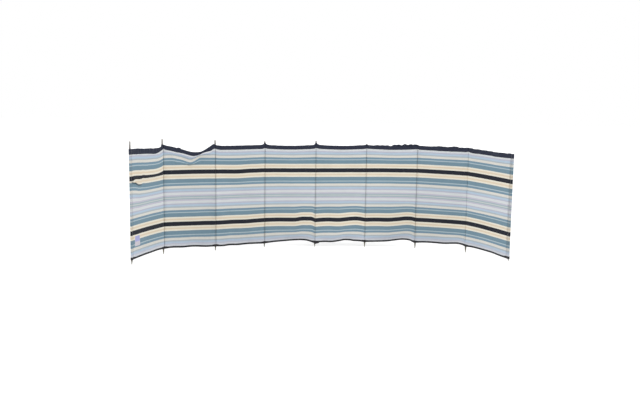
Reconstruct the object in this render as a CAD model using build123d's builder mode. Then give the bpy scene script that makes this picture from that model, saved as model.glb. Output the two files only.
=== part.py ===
"""Beach windbreak: one long striped cloth that stands on edge in eight bays.

Nine round wooden poles hold the cloth. Each inner pole stands in a tuck that is sewn at the
back of the cloth, and each end pole in the turned-back end of the cloth. The poles are
sharpened at the foot, where they go into the sand. Both long edges of the cloth are bound
with a folded hem, and a label is sewn to the first bay.

Frame: millimetres, +Z up, ground at Z = 0. The origin is at the foot of the middle pole, +X
runs along the windbreak from bay 1 to bay 8, and -Y is the sheltered side.
"""

from build123d import *

import os
from math import asin, cos, radians, sin

# Layout in plan
BAY_HEADINGS = (67, 26, 25, 6, 3, -3, -22, -47)  # degrees from +X, one for each bay
BAY_WIDTH = 620  # from seam to seam, and from seam to outer edge in an end bay
MIDDLE_SEAM = 4  # index of the seam whose pole stands at the origin

# Cloth
CLOTH_HEIGHT = 1200
CLOTH_THICKNESS = 1.2
CLEARANCES = (54, 72, 63, 58, 63, 68, 72, 65, 30)  # from the ground to the cloth at each pole
TOP_HEM = 42
BOTTOM_HEM = 26
STITCH_GAP = 0.3  # between pieces of cloth that are sewn to each other
BELLIES = (14, 30, 20, 24, 24, 24, 18, 14)  # how far back each bay is blown at its middle

# The long edges of the cloth, one for each bay. Each shape is a row of heights above the
# straight line from seam to seam, at equal steps between the two seams.
END_BAY_TOP = (-10, -20)
SLACK_TOP = (-16, -33, -52, -75, -84, -72, -20)
SAGGING_TOP = (-7, -12, -8)
TAUT_TOP = (-4,)
TOP_EDGES = (
    END_BAY_TOP, SLACK_TOP, TAUT_TOP, SAGGING_TOP, SAGGING_TOP, SAGGING_TOP, TAUT_TOP, TAUT_TOP
)
SLACK_BOTTOM = (8, 14)
TAUT_BOTTOM = (3,)
LIFTED_BOTTOM = (3, 9, 24, 22)
BOTTOM_EDGES = (
    SLACK_BOTTOM, TAUT_BOTTOM, TAUT_BOTTOM,
    LIFTED_BOTTOM, LIFTED_BOTTOM, LIFTED_BOTTOM, SLACK_BOTTOM, SLACK_BOTTOM
)

# Poles
POLE_DIAMETER = 20
POLE_RISES = (85, 67, 58, 46, 52, 14, -6, -8, -7)  # top of each pole above the cloth's edge
POLE_TOP_ROUND = 3
POINT_LENGTH = 58
POINT_TIP_DIAMETER = 7

# Pockets
POCKET_CLEARANCE = 0.3  # between the pole and the cloth round it
POCKET_NECK = 9.5  # from the seam to the loop round the pole

# Label
LABEL_WIDTH = 90
LABEL_HEIGHT = 112
LABEL_THICKNESS = 0.8
LABEL_FROM_SEAM = 42
LABEL_ABOVE_HEM = 106

# Derived sizes
UP = Vector(0, 0, 1)
BAYS = len(BAY_HEADINGS)
SEAMS = BAYS + 1
ABOVE_ALL = 2 * (max(CLEARANCES) + CLOTH_HEIGHT)
HEM_THICKNESS = 3 * CLOTH_THICKNESS  # the cloth, and a layer of the hem on each face of it
POLE_RADIUS = POLE_DIAMETER / 2
POCKET_RADIUS = POLE_RADIUS + POCKET_CLEARANCE + CLOTH_THICKNESS
POCKET_REACH = POCKET_NECK + POCKET_RADIUS  # from the seam to the pole's centre
SEAM_RIDGE = 1.5 * CLOTH_THICKNESS  # radius of the ridge where a pocket is stitched shut
POCKET_FLARE = asin((POCKET_RADIUS - SEAM_RIDGE) / POCKET_REACH)  # half angle at the seam
END_BAY_WIDTH = BAY_WIDTH - POCKET_REACH - POCKET_RADIUS
END_BAYS = (0, BAYS - 1)
BAY_WIDTHS = [END_BAY_WIDTH if bay in END_BAYS else BAY_WIDTH for bay in range(BAYS)]
ALONG = [Vector(cos(radians(heading)), sin(radians(heading)), 0) for heading in BAY_HEADINGS]
BACK = [UP.cross(along) for along in ALONG]


def pocket_direction(seam):
    """The way from a seam to its pole: backwards, or outwards at the two ends."""
    if seam == 0:
        return ALONG[0] * -1
    if seam == BAYS:
        return ALONG[-1]
    return (BACK[seam - 1] + BACK[seam]).normalized()


def seam_places():
    """Where each seam stands in plan, worked out both ways from the middle pole."""
    places = {MIDDLE_SEAM: pocket_direction(MIDDLE_SEAM) * -POCKET_REACH}
    for bay in range(MIDDLE_SEAM, BAYS):
        places[bay + 1] = places[bay] + ALONG[bay] * BAY_WIDTHS[bay]
    for bay in reversed(range(MIDDLE_SEAM)):
        places[bay] = places[bay + 1] - ALONG[bay] * BAY_WIDTHS[bay]
    return [places[seam] for seam in range(SEAMS)]


SEAM_PLACES = seam_places()
POLE_PLACES = [SEAM_PLACES[seam] + pocket_direction(seam) * POCKET_REACH for seam in range(SEAMS)]


def inset(seam, bay, thickness):
    """How far from its seam a layer of a bay ends, so that its back corner clears the pocket."""
    if seam in (0, BAYS):
        return SEAM_RIDGE + STITCH_GAP
    away = ALONG[bay] if seam == bay else ALONG[bay] * -1
    pocket = pocket_direction(seam)
    beside = (away - pocket * away.dot(pocket)).normalized()
    flare_normal = beside * cos(POCKET_FLARE) - pocket * sin(POCKET_FLARE)
    corner = BACK[bay].dot(flare_normal) * thickness / 2
    return (SEAM_RIDGE + STITCH_GAP - corner) / away.dot(flare_normal)


def plan_outline(bay, front, back, thickness):
    """A layer of a bay seen from above, curved between its two ends.

    front and back are the faces of the layer, as distances behind the middle of the cloth.
    thickness is that of the whole stack, which settles how near the layer comes to the pockets.
    """
    start = inset(bay, bay, thickness)
    end = BAY_WIDTHS[bay] - inset(bay + 1, bay, thickness)
    middle = (start + end) / 2
    belly = BELLIES[bay]
    with BuildSketch(Plane(origin=SEAM_PLACES[bay], x_dir=ALONG[bay], z_dir=UP)) as plan:
        with BuildLine():
            front_edge = ThreePointArc((start, front), (middle, front + belly), (end, front))
            back_edge = ThreePointArc((start, back), (middle, back + belly), (end, back))
            Line(front_edge @ 0, back_edge @ 0)
            Line(front_edge @ 1, back_edge @ 1)
        make_face()
    return plan.sketch


def face_plane(bay):
    """Upright plane of a bay, facing the sheltered side: x along the bay, y up."""
    return Plane(origin=SEAM_PLACES[bay], x_dir=ALONG[bay], z_dir=BACK[bay] * -1)


def edge_line(bay, shape, height):
    """The points of a long edge of a bay, in the plane of its face, from seam to seam.

    height is the edge's height above the cloth's lower corners at the two poles.
    """
    steps = len(shape) + 1
    climb = CLEARANCES[bay + 1] - CLEARANCES[bay]
    points = []
    for index, rise in enumerate((0, *shape, 0)):
        straight = CLEARANCES[bay] + height + climb * index / steps
        points.append((BAY_WIDTHS[bay] * index / steps, straight + rise))
    return points


def face_outline(bay, lower_shape, lower_height, upper_shape, upper_height):
    """A layer of a bay seen from the front, between two long edges of the given shapes."""
    with BuildSketch(face_plane(bay)) as face:
        with BuildLine():
            lower = Spline(*edge_line(bay, lower_shape, lower_height))
            upper = Spline(*edge_line(bay, upper_shape, upper_height))
            Line(lower @ 0, upper @ 0)
            Line(lower @ 1, upper @ 1)
        make_face()
    return face.sketch


def write(piece, name):
    """Label a finished piece and write it to its own file."""
    piece.label = name
    export_step(piece, f"parts/{name}.step")


def make_pole(seam):
    """A round pole: blunt point at the foot, straight shaft, rounded top."""
    place = POLE_PLACES[seam]
    top = CLEARANCES[seam] + CLOTH_HEIGHT + POLE_RISES[seam]
    with BuildPart() as pole:
        with BuildSketch(Plane(origin=place, x_dir=(1, 0, 0), z_dir=(0, -1, 0))):
            with BuildLine():
                Polyline(
                    (POLE_RADIUS - POLE_TOP_ROUND, top), (0, top), (0, 0),
                    (POINT_TIP_DIAMETER / 2, 0), (POLE_RADIUS, POINT_LENGTH),
                    (POLE_RADIUS, top - POLE_TOP_ROUND)
                )
                RadiusArc(
                    (POLE_RADIUS, top - POLE_TOP_ROUND), (POLE_RADIUS - POLE_TOP_ROUND, top),
                    -POLE_TOP_ROUND
                )
            make_face()
        revolve(axis=Axis(place, UP))
    write(pole.part, f"pole_{seam + 1}")


def make_pocket(seam):
    """The loop of cloth round a pole, drawn together at the seam."""
    floor = Plane(
        origin=SEAM_PLACES[seam] + UP * CLEARANCES[seam], x_dir=pocket_direction(seam), z_dir=UP
    )
    with BuildPart() as pocket:
        with BuildSketch(floor):
            Circle(SEAM_RIDGE)
            with Locations((POCKET_REACH, 0)):
                Circle(POCKET_RADIUS)
            make_hull()
            offset(amount=-CLOTH_THICKNESS, mode=Mode.SUBTRACT)
        extrude(amount=CLOTH_HEIGHT)
    write(pocket.part, f"pocket_{seam + 1}")


def make_bay(bay):
    """The cloth of one bay, and the two hems folded over its long edges."""
    low, high = BOTTOM_EDGES[bay], TOP_EDGES[bay]
    half_cloth = CLOTH_THICKNESS / 2
    half_hem = HEM_THICKNESS / 2
    with BuildPart() as panel:
        extrude(plan_outline(bay, -half_cloth, half_cloth, CLOTH_THICKNESS), amount=ABOVE_ALL)
        face = face_outline(bay, low, CLOTH_THICKNESS, high, CLOTH_HEIGHT - CLOTH_THICKNESS)
        extrude(face, amount=BAY_WIDTH, both=True, mode=Mode.INTERSECT)
    write(panel.part, f"panel_{bay + 1}")

    with BuildPart() as bottom_hem:
        extrude(plan_outline(bay, -half_hem, half_hem, HEM_THICKNESS), amount=ABOVE_ALL)
        face = face_outline(bay, low, 0, low, BOTTOM_HEM)
        extrude(face, amount=BAY_WIDTH, both=True, mode=Mode.INTERSECT)
        add(panel.part, mode=Mode.SUBTRACT)
    write(bottom_hem.part, f"bottom_hem_{bay + 1}")

    with BuildPart() as top_hem:
        extrude(plan_outline(bay, -half_hem, half_hem, HEM_THICKNESS), amount=ABOVE_ALL)
        face = face_outline(bay, high, CLOTH_HEIGHT - TOP_HEM, high, CLOTH_HEIGHT)
        extrude(face, amount=BAY_WIDTH, both=True, mode=Mode.INTERSECT)
        add(panel.part, mode=Mode.SUBTRACT)
    write(top_hem.part, f"top_hem_{bay + 1}")


def make_label():
    """A flat label sewn to the front of the first bay, above the bottom hem."""
    back = -CLOTH_THICKNESS / 2 - STITCH_GAP
    corner = (LABEL_FROM_SEAM, CLEARANCES[0] + BOTTOM_HEM + LABEL_ABOVE_HEM)
    with BuildPart() as label:
        extrude(plan_outline(0, back - LABEL_THICKNESS, back, CLOTH_THICKNESS), amount=ABOVE_ALL)
        with BuildSketch(face_plane(0)):
            with Locations(corner):
                Rectangle(LABEL_WIDTH, LABEL_HEIGHT, align=(Align.MIN, Align.MIN))
        extrude(amount=BAY_WIDTH, both=True, mode=Mode.INTERSECT)
    write(label.part, "sewn_label")


os.makedirs("parts", exist_ok=True)
for number in range(SEAMS):
    make_pole(number)
    make_pocket(number)
for number in range(BAYS):
    make_bay(number)
make_label()
for number, pole_place in enumerate(POLE_PLACES, start=1):
    print(f"pole {number} stands at {pole_place.X:.3f}, {pole_place.Y:.3f}")
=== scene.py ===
"""Looks of a striped beach windbreak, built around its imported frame.

The cloth is one long woven sheet. It hangs in eight bays between nine wooden poles, turns back
round each pole in a sewn pocket, and has a tape folded over each long edge. Everything is in
metres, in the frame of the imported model: Z up, the ground at Z = 0, the sheltered side at -Y.
"""

import logging
import math
from collections.abc import Sequence
from dataclasses import dataclass, field
from enum import Enum

import bpy
import numpy as np
from mathutils import Matrix, Vector


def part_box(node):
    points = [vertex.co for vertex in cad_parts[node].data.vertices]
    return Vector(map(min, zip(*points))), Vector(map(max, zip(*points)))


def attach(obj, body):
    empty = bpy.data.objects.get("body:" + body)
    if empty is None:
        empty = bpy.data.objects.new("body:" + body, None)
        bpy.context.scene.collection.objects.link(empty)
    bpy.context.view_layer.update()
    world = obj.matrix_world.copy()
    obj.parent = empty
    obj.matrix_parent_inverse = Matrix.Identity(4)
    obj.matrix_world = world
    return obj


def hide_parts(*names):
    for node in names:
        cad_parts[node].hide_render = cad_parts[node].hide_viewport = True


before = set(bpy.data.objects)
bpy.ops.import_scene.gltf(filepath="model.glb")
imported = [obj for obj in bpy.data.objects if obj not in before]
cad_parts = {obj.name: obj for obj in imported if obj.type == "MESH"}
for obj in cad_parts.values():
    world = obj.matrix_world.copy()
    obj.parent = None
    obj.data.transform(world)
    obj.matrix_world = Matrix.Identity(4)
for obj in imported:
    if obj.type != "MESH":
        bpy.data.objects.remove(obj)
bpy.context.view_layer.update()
LOG = logging.getLogger("windbreak")

BODY = "root"
MM = 0.001
UV_NAME = "cloth_metres"
# Name of the point attribute that holds painted shade: beside the seams, over the pockets and in
# creases.
PAINTED_SHADE_NAME = "painted_shade"
POLES = 9
BAYS = POLES - 1
MIDDLE_POLE = BAYS // 2 + 1
WHITE = (1.0, 1.0, 1.0, 1.0)

Points = np.ndarray
ControlPoints = Sequence[tuple[float, float]]
Rgb = tuple[int, int, int]
Socket = bpy.types.NodeSocket


# ---- Curves and ripples ----


def ease(x: np.ndarray) -> np.ndarray:
    """From 0 at x = 0 to 1 at x = 1, level at both ends."""
    t = np.clip(x, 0.0, 1.0)
    return t * t * (3 - 2 * t)


def ramp(distance: np.ndarray, start: float, end: float) -> np.ndarray:
    """From 0 at a start to 1 at an end, which are in millimetres, level at both ends."""
    return ease((distance - start * MM) / ((end - start) * MM))


def through(points: ControlPoints, x: np.ndarray) -> np.ndarray:
    """A smooth curve through a few points, level beyond the first and the last.

    Args:
        points: (x, y) pairs in order of x.
        x: where to read the curve.

    Returns:
        The curve's height at each x.
    """
    xs, ys = np.array(points, float).T
    slopes = np.gradient(ys, xs)
    left = np.clip(np.searchsorted(xs, x, side="right") - 1, 0, len(xs) - 2)
    step = xs[left + 1] - xs[left]
    t = np.clip((x - xs[left]) / step, 0.0, 1.0)
    start, end = t * (1 - t) ** 2 * slopes[left], t * t * (1 - t) * slopes[left + 1]
    return ys[left] + ease(t) * (ys[left + 1] - ys[left]) + step * (start - end)


def level(y: float) -> ControlPoints:
    """Control points of a curve that stays at one height."""
    return ((0, y), (1, y))


def pinned(*points: tuple[float, float]) -> ControlPoints:
    """Control points of a curve that is 0 at x = 0 and at x = 1."""
    return ((0, 0), *points, (1, 0))


@dataclass(frozen=True)
class Ripple:
    """Irregular waves on a cloth: a sum of plane waves of about one size.

    Fields:
        height: root mean square height.
        along: usual wavelength along the cloth.
        up: usual wavelength up the cloth.
        seed: fixes the draw.
        waves: how many waves are added.
        spread: shortest and longest wave, as a divisor of the usual wavelength.
    """

    height: float
    along: float
    up: float
    seed: int
    waves: int = 14
    spread: tuple[float, float] = (1.5, 0.6)

    def at(self, along: np.ndarray, up: np.ndarray, number: int = 0) -> np.ndarray:
        """Height of the ripple.

        Args:
            along: distance along the cloth.
            up: distance up the cloth.
            number: added to the seed, so that no two bays are alike.

        Returns:
            The height at each place.
        """
        rng = np.random.default_rng(self.seed + number)
        shortest, longest = self.spread
        total = np.zeros(np.broadcast(along, up).shape)
        for _ in range(self.waves):
            turn = rng.uniform(-1.0, 1.0, 2)
            size = rng.uniform(longest, shortest)
            phase = rng.uniform(0.0, 2 * math.pi)
            cycles = (turn[0] * along / self.along + turn[1] * up / self.up) * size
            total += np.sin(2 * math.pi * cycles + phase)
        return total * self.height * math.sqrt(2 / self.waves)


# ---- Nodes ----


class Number:
    """A number in a node tree, to be used in plain Python expressions."""

    def __init__(self, nodes: "Nodes", socket: Socket) -> None:
        """Wraps an output socket of the given nodes."""
        self.nodes = nodes
        self.socket = socket

    def _math(self, operation: str, *values: "Number | float") -> "Number":
        """Adds a Math node and wraps what it gives."""
        inputs = dict(enumerate(values))
        return self.nodes.number("ShaderNodeMath", {"operation": operation}, inputs)

    def __add__(self, other: "Number | float") -> "Number":
        """The sum of the two."""
        return self._math("ADD", self, other)

    __radd__ = __add__

    def __sub__(self, other: "Number | float") -> "Number":
        """This less the other."""
        return self._math("SUBTRACT", self, other)

    def __rsub__(self, other: float) -> "Number":
        """The other less this."""
        return self._math("SUBTRACT", other, self)

    def __mul__(self, other: "Number | float") -> "Number":
        """The product of the two."""
        return self._math("MULTIPLY", self, other)

    __rmul__ = __mul__

    def __truediv__(self, other: "Number | float") -> "Number":
        """This over the other."""
        return self._math("DIVIDE", self, other)

    def __abs__(self) -> "Number":
        """This without its sign."""
        return self._math("ABSOLUTE", self)

    def floor(self) -> "Number":
        """The whole number below this."""
        return self._math("FLOOR", self)

    def wave(self) -> "Number":
        """The sine of this, in radians."""
        return self._math("SINE", self)

    def ribs(self, pitch: float) -> "Number":
        """A wave between 0 and 1 that repeats at each pitch."""
        return (self * (2 * math.pi / pitch)).wave() * 0.5 + 0.5

    def greater(self, other: "Number | float") -> "Number":
        """The greater of the two."""
        return self._math("MAXIMUM", self, other)

    def clear_of(self, low: float, high: float) -> "Number":
        """0 below low, 1 above high, and smooth between them."""
        inputs = {"Value": self, "From Min": low, "From Max": high}
        return self.nodes.number("ShaderNodeMapRange", {"interpolation_type": "SMOOTHSTEP"}, inputs)


class Nodes:
    """Adds nodes to one tree, and sets what goes into them."""

    def __init__(self, tree: bpy.types.NodeTree) -> None:
        """Takes a tree and empties it."""
        self.tree = tree
        tree.nodes.clear()

    def add(self, kind: str, settings: dict | None = None, inputs: dict | None = None) -> bpy.types.Node:
        """Adds one node.

        Args:
            kind: the node's type.
            settings: its own settings, set first. "stops" fills a colour ramp.
            inputs: a value, or something to link, for each socket by name or number.

        Returns:
            The new node.
        """
        node = self.tree.nodes.new(kind)
        for name, value in (settings or {}).items():
            if name == "stops":
                self._fill_ramp(node.color_ramp, value)
            else:
                setattr(node, name, value)
        for key, value in (inputs or {}).items():
            self.feed(node.inputs[key], value)
        return node

    @staticmethod
    def _fill_ramp(bands: bpy.types.ColorRamp, stops: Sequence[tuple[float, tuple]]) -> None:
        """Gives a ramp constant steps at the given places and colours.

        Args:
            bands: the ramp.
            stops: a place and a colour for each step.
        """
        bands.interpolation = "CONSTANT"
        while len(bands.elements) < len(stops):
            bands.elements.new(1.0)
        for element, (place, colour) in zip(bands.elements, stops):
            element.position = place
            element.color = colour

    def feed(self, socket: Socket, value: object) -> None:
        """Links a socket to a node or a number, or sets its value.

        Args:
            socket: an input socket.
            value: what goes into it.
        """
        if isinstance(value, bpy.types.Node):
            value = value.outputs[0]
        if isinstance(value, Number):
            value = value.socket
        if isinstance(value, Socket):
            self.tree.links.new(value, socket)
        else:
            socket.default_value = value

    def number(self, kind: str, settings: dict | None = None, inputs: dict | None = None) -> Number:
        """Adds a node and wraps its first output as a number."""
        return Number(self, self.add(kind, settings, inputs).outputs[0])

    def parts(self, vector: object) -> list[Number]:
        """The three parts of a vector."""
        split = self.add("ShaderNodeSeparateXYZ", inputs={0: vector})
        return [Number(self, socket) for socket in split.outputs]

    def looked_at(self) -> Number:
        """1 where a backdrop is seen, straight on or in gloss or glass, and 0 where it lights.

        Returns:
            The mask, for a Mix Shader's factor.
        """
        path = self.add("ShaderNodeLightPath").outputs
        seen = Number(self, path["Is Camera Ray"])
        for ray in ("Is Glossy Ray", "Is Transmission Ray"):
            seen = seen.greater(Number(self, path[ray]))
        return seen


class MaterialNodes(Nodes):
    """The nodes of one new material."""

    def __init__(self, name: str) -> None:
        """Starts an empty material of that name.

        Args:
            name: the material's name.
        """
        self.material = bpy.data.materials.new(name)
        self.material.use_nodes = True
        super().__init__(self.material.node_tree)

    def across_cloth(self) -> tuple[bpy.types.Node, Number, Number]:
        """The place on the cloth, as a vector and as distances along it and up it.

        Returns:
            The vector, the distance along and the distance up.
        """
        place = self.add("ShaderNodeUVMap", {"uv_map": UV_NAME})
        along, up, _ = self.parts(place)
        return place, along, up

    def in_space(self) -> Socket:
        """The place in the piece's own space."""
        return self.add("ShaderNodeTexCoord").outputs["Object"]

    def noise(self, vector: object, stretch: tuple[float, float, float], **inputs: float) -> Number:
        """Noise with cells of 1 / stretch along each axis, from 0 to 1.

        Args:
            vector: where it is read.
            stretch: cells to a metre along each axis.
            inputs: the texture's other sockets, by their names in small letters.

        Returns:
            The noise, from 0 to 1.
        """
        scaled = self.add("ShaderNodeVectorMath", {"operation": "MULTIPLY"}, {0: vector, 1: stretch})
        named = {name.title(): value for name, value in inputs.items()}
        return self.number("ShaderNodeTexNoise", inputs={"Vector": scaled, "Scale": 1.0, **named})

    def tint(self, colour: object, other: object, share: object, blend: str = "MIX") -> Socket:
        """Mixes two colours.

        Args:
            colour: the first colour, as a value or something to link.
            other: the second colour.
            share: how much of the second, from 0 to 1.
            blend: Blender's blend type.

        Returns:
            The mixed colour's socket.
        """
        settings = {"data_type": "RGBA", "blend_type": blend, "clamp_factor": True}
        mix = self.add("ShaderNodeMix", settings, {0: share, 6: colour, 7: other})
        return mix.outputs[2]

    def shaded(self, colour: object, tone: Number) -> Socket:
        """A colour made lighter or darker by a number about 1."""
        grey = self.add("ShaderNodeCombineColor", inputs={0: tone, 1: tone, 2: tone})
        return self.tint(colour, grey, 1.0, "MULTIPLY")

    def surface(self, bump: Number, depth: float, **inputs: object) -> bpy.types.Material:
        """Closes the material with a Principled shader.

        Args:
            bump: height of the fine relief, from 0 to 1.
            depth: how deep that relief is, in metres.
            inputs: the shader's sockets, with _ for spaces.

        Returns:
            The finished material.
        """
        relief = self.add("ShaderNodeBump", inputs={"Height": bump, "Distance": depth})
        named = {name.replace("_", " "): value for name, value in inputs.items()}
        shader = self.add("ShaderNodeBsdfPrincipled", inputs={"Normal": relief, **named})
        self.add("ShaderNodeOutputMaterial", inputs={0: shader})
        return self.material


# ---- Finishes ----


def linear(screen: Rgb) -> tuple[float, ...]:
    """A screen colour, 0 to 255, as the linear colour that a shader takes."""
    shares = (value / 255 for value in screen)
    return *(s / 12.92 if s <= 0.04045 else ((s + 0.055) / 1.055) ** 2.4 for s in shares), 1.0


class Yarn(Enum):
    """The dyed yarns of the striped cloth, as screen colours."""

    BLACK = (31, 34, 44)
    CREAM = (236, 230, 214)
    PEACH = (228, 211, 187)
    TEAL = (119, 146, 161)
    MIST = (180, 196, 202)
    DEEP_TEAL = (121, 149, 167)
    IVORY = (222, 219, 211)
    PEWTER = (178, 187, 194)
    SKY = (182, 201, 218)
    LAVENDER = (188, 191, 206)
    CHALK = (217, 220, 222)
    LILAC = (196, 194, 208)
    SAGE = (165, 184, 189)
    PEARL = (200, 205, 206)


# Widths in millimetres, from the middle of a black stripe to the middle of the lilac ground
# halfway between two black stripes. The cloth mirrors this about both.
STRIPES: tuple[tuple[float, Yarn], ...] = (
    (24, Yarn.BLACK),
    (18, Yarn.CREAM),
    (21, Yarn.PEACH),
    (18, Yarn.CREAM),
    (46, Yarn.TEAL),
    (11, Yarn.MIST),
    (24, Yarn.DEEP_TEAL),
    (28, Yarn.IVORY),
    (14, Yarn.PEWTER),
    (21, Yarn.SKY),
    (15, Yarn.LAVENDER),
    (30, Yarn.CHALK),
    (16, Yarn.LILAC),
    (13, Yarn.SAGE),
    (6, Yarn.PEARL),
)


@dataclass(frozen=True)
class StripedCloth:
    """Woven cotton canvas with stripes along its length, a little faded and sandy.

    Fields:
        middle: height of the middle of the pattern above the cloth's lower edge.
        wander: how far the stripes stray up and down.
        thread: width of a thread.
        weave: how deep the weave is.
        threads: how far single threads stray in lightness.
        slubs: how far thick places in a thread do.
        fading: how far whole patches do.
        lowest: how much darker the lowest third is than the rest.
        painted_shade: how much darker the cloth is painted where its painted shade is full: shade beside
            the seams, over the pockets and in creases.
        sand: colour of the sand that is caught low down, on screen.
        sandy: how much it covers.
        paled: colour that a strip just above the lower hem is tinted towards, on screen.
        hem_paling: how far that strip is tinted.
    """

    middle: float = 584.5 * MM
    wander: float = 2.4 * MM
    thread: float = 0.9 * MM
    weave: float = 0.22 * MM
    threads: float = 0.09
    slubs: float = 0.16
    fading: float = 0.10
    lowest: float = 0.025
    painted_shade: float = 0.24
    sand: Rgb = (168, 158, 140)
    sandy: float = 0.12
    paled: Rgb = (212, 216, 227)
    hem_paling: float = 0.4

    def _stripes(self, nodes: MaterialNodes, place: bpy.types.Node, up: Number) -> bpy.types.Node:
        """The yarns' colours up the cloth.

        Args:
            nodes: the material's nodes.
            place: the place on the cloth.
            up: the distance up it.

        Returns:
            The node that gives their colour.
        """
        half = sum(width for width, _ in STRIPES) * MM
        strayed = up + (nodes.noise(place, (9.0, 2.0, 1.0), detail=2.0) - 0.5) * self.wander
        share = abs(abs(strayed - self.middle) - half) / half
        stops, reached = [], 0.0
        for width, yarn in STRIPES:
            stops.append((reached * MM / half, linear(yarn.value)))
            reached += width
        return nodes.add("ShaderNodeValToRGB", {"stops": stops}, {0: share})

    def make(self) -> bpy.types.Material:
        """The cloth's material.

        Returns:
            The finished material.
        """
        nodes = MaterialNodes("striped_cloth")
        place, along, up = nodes.across_cloth()
        row = (up / self.thread).floor()
        single = nodes.number("ShaderNodeTexWhiteNoise", {"noise_dimensions": "1D"}, {"W": row})
        slub = nodes.noise(place, (14.0, 900.0, 1.0), detail=2.0)
        faded = nodes.noise(place, (1.6, 2.2, 1.0), detail=4.0, roughness=0.6)
        # Painted shade read from the attribute: darker beside the seams, over the pockets and in
        # creases.
        painted_shade_in = nodes.add("ShaderNodeAttribute", {"attribute_name": PAINTED_SHADE_NAME}).outputs["Fac"]
        tone = 1 + self.threads * (single - 0.5) + self.slubs * (slub - 0.5)
        tone = tone + self.fading * (faded - 0.5)
        tone = tone * (1 - self.painted_shade * Number(nodes, painted_shade_in))
        tone = tone * (1 - self.lowest + self.lowest * up.clear_of(0.4, 0.8))
        woven = nodes.shaded(self._stripes(nodes, place, up), tone)

        blotch = nodes.noise(place, (3.0, 5.0, 1.0), detail=6.0, roughness=0.65)
        low = 1 - up.clear_of(0.02, 0.24)
        dusty = nodes.tint(woven, linear(self.sand), blotch.clear_of(0.45, 0.8) * low * self.sandy)
        # Tinted towards a pale blue-grey in a strip just above the lower hem.
        at_hem = 1 - up.clear_of(0.045, 0.075)

        turns = math.pi / self.thread
        weave = (along * turns).wave() * (up * turns).wave() * 0.5 + 0.5
        fuzz = nodes.noise(place, (1500.0, 1500.0, 1.0), detail=2.0)
        return nodes.surface(
            bump=weave + 0.5 * fuzz,
            depth=self.weave,
            Base_Color=nodes.tint(dusty, linear(self.paled), at_hem * self.hem_paling),
            Roughness=0.80 + 0.14 * blotch,
            Sheen_Weight=0.12,
            Sheen_Roughness=0.5,
            Specular_IOR_Level=0.25,
        )


@dataclass(frozen=True)
class Tape:
    """Twill tape of one colour, with its slanting ribs and some wear.

    Fields:
        name: the material's name.
        colour: the dyed colour, on screen.
        worn: the colour where it is rubbed or dusty.
        rib: from one rib to the next, along the tape.
        wear: how far the rubbed places are worn.
    """

    name: str
    colour: Rgb
    worn: Rgb
    rib: float = 1.6 * MM
    wear: float = 0.5

    def make(self) -> bpy.types.Material:
        """The tape's material.

        Returns:
            The finished material.
        """
        nodes = MaterialNodes(self.name)
        place, along, up = nodes.across_cloth()
        ribs = (along + up).ribs(self.rib)
        cloudy = nodes.noise(place, (6.0, 20.0, 1.0), detail=5.0, roughness=0.6)
        specks = nodes.noise(place, (220.0, 260.0, 1.0), detail=3.0)
        # The cloudy part is uneven dye; the ribs' part is painted shade, darker in the grooves between
        # the ribs.
        dyed_and_rib_shaded = nodes.shaded(linear(self.colour), 0.86 + 0.28 * cloudy + 0.08 * ribs)
        rubbed = cloudy.clear_of(0.52, 0.78) * specks.clear_of(0.42, 0.66) * self.wear
        return nodes.surface(
            bump=ribs + 0.4 * specks,
            depth=0.25 * MM,
            Base_Color=nodes.tint(dyed_and_rib_shaded, linear(self.worn), rubbed),
            Roughness=0.74 + 0.16 * specks,
            Sheen_Weight=0.10,
            Specular_IOR_Level=0.3,
        )


@dataclass(frozen=True)
class Thread:
    """Spun sewing thread.

    Fields:
        name: the material's name.
        colour: the thread's colour, on screen.
    """

    name: str
    colour: Rgb

    def make(self) -> bpy.types.Material:
        """The thread's material.

        Returns:
            The finished material.
        """
        nodes = MaterialNodes(self.name)
        twist = nodes.noise(nodes.in_space(), (900.0, 900.0, 900.0), detail=2.0)
        return nodes.surface(
            bump=twist,
            depth=0.15 * MM,
            Base_Color=nodes.shaded(linear(self.colour), 0.8 + 0.4 * twist),
            Roughness=0.55 + 0.2 * twist,
        )


@dataclass(frozen=True)
class BareWood:
    """Bare softwood pole: grey where it weathers above, paler towards its sandy point.

    Fields:
        weathered: colour of the weathered upper part, on screen.
        paled: colour of the worn top ends.
        fresh: colour of the wood near the ground.
        grain: colour of the late wood in the grain.
        cut: colour of the sawn ends.
        sand: colour of the sand on the points.
    """

    weathered: Rgb = (126, 124, 122)
    paled: Rgb = (198, 196, 193)
    fresh: Rgb = (124, 123, 110)
    grain: Rgb = (104, 88, 70)
    cut: Rgb = (148, 126, 96)
    sand: Rgb = (168, 160, 140)

    def make(self) -> bpy.types.Material:
        """The poles' material.

        Returns:
            The finished material.
        """
        nodes = MaterialNodes("pole_wood")
        place = nodes.in_space()
        height = nodes.parts(place)[2]
        waver = nodes.noise(place, (18.0, 18.0, 1.2), detail=3.0)
        bands = nodes.noise(place, (420.0, 420.0, 3.0), detail=4.0, roughness=0.55, distortion=0.4)
        fibres = nodes.noise(place, (2400.0, 2400.0, 30.0), detail=2.0)
        specks = nodes.noise(place, (160.0, 160.0, 160.0), detail=5.0, roughness=0.7)
        facing_up = nodes.parts(nodes.add("ShaderNodeNewGeometry").outputs["Normal"])[2]

        colour = linear(self.fresh)
        for other, share in (
            (self.weathered, (height + 0.3 * waver).clear_of(0.1, 0.9)),
            (self.paled, (height + 0.04 * waver).clear_of(1.27, 1.35) * 0.8),
            (self.grain, (bands + 0.25 * waver).clear_of(0.56, 0.72) * 0.4),
            (self.cut, facing_up.clear_of(0.6, 0.95) * 0.7),
            (self.sand, specks.clear_of(0.48, 0.66) * (1 - height.clear_of(0.02, 0.16)) * 0.6),
        ):
            colour = nodes.tint(colour, linear(other), share)
        return nodes.surface(
            bump=bands * 0.7 + fibres * 0.3,
            depth=0.4 * MM,
            Base_Color=nodes.shaded(colour, 0.9 + 0.2 * fibres),
            Roughness=0.66 + 0.22 * fibres,
            Specular_IOR_Level=0.3,
        )


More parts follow.
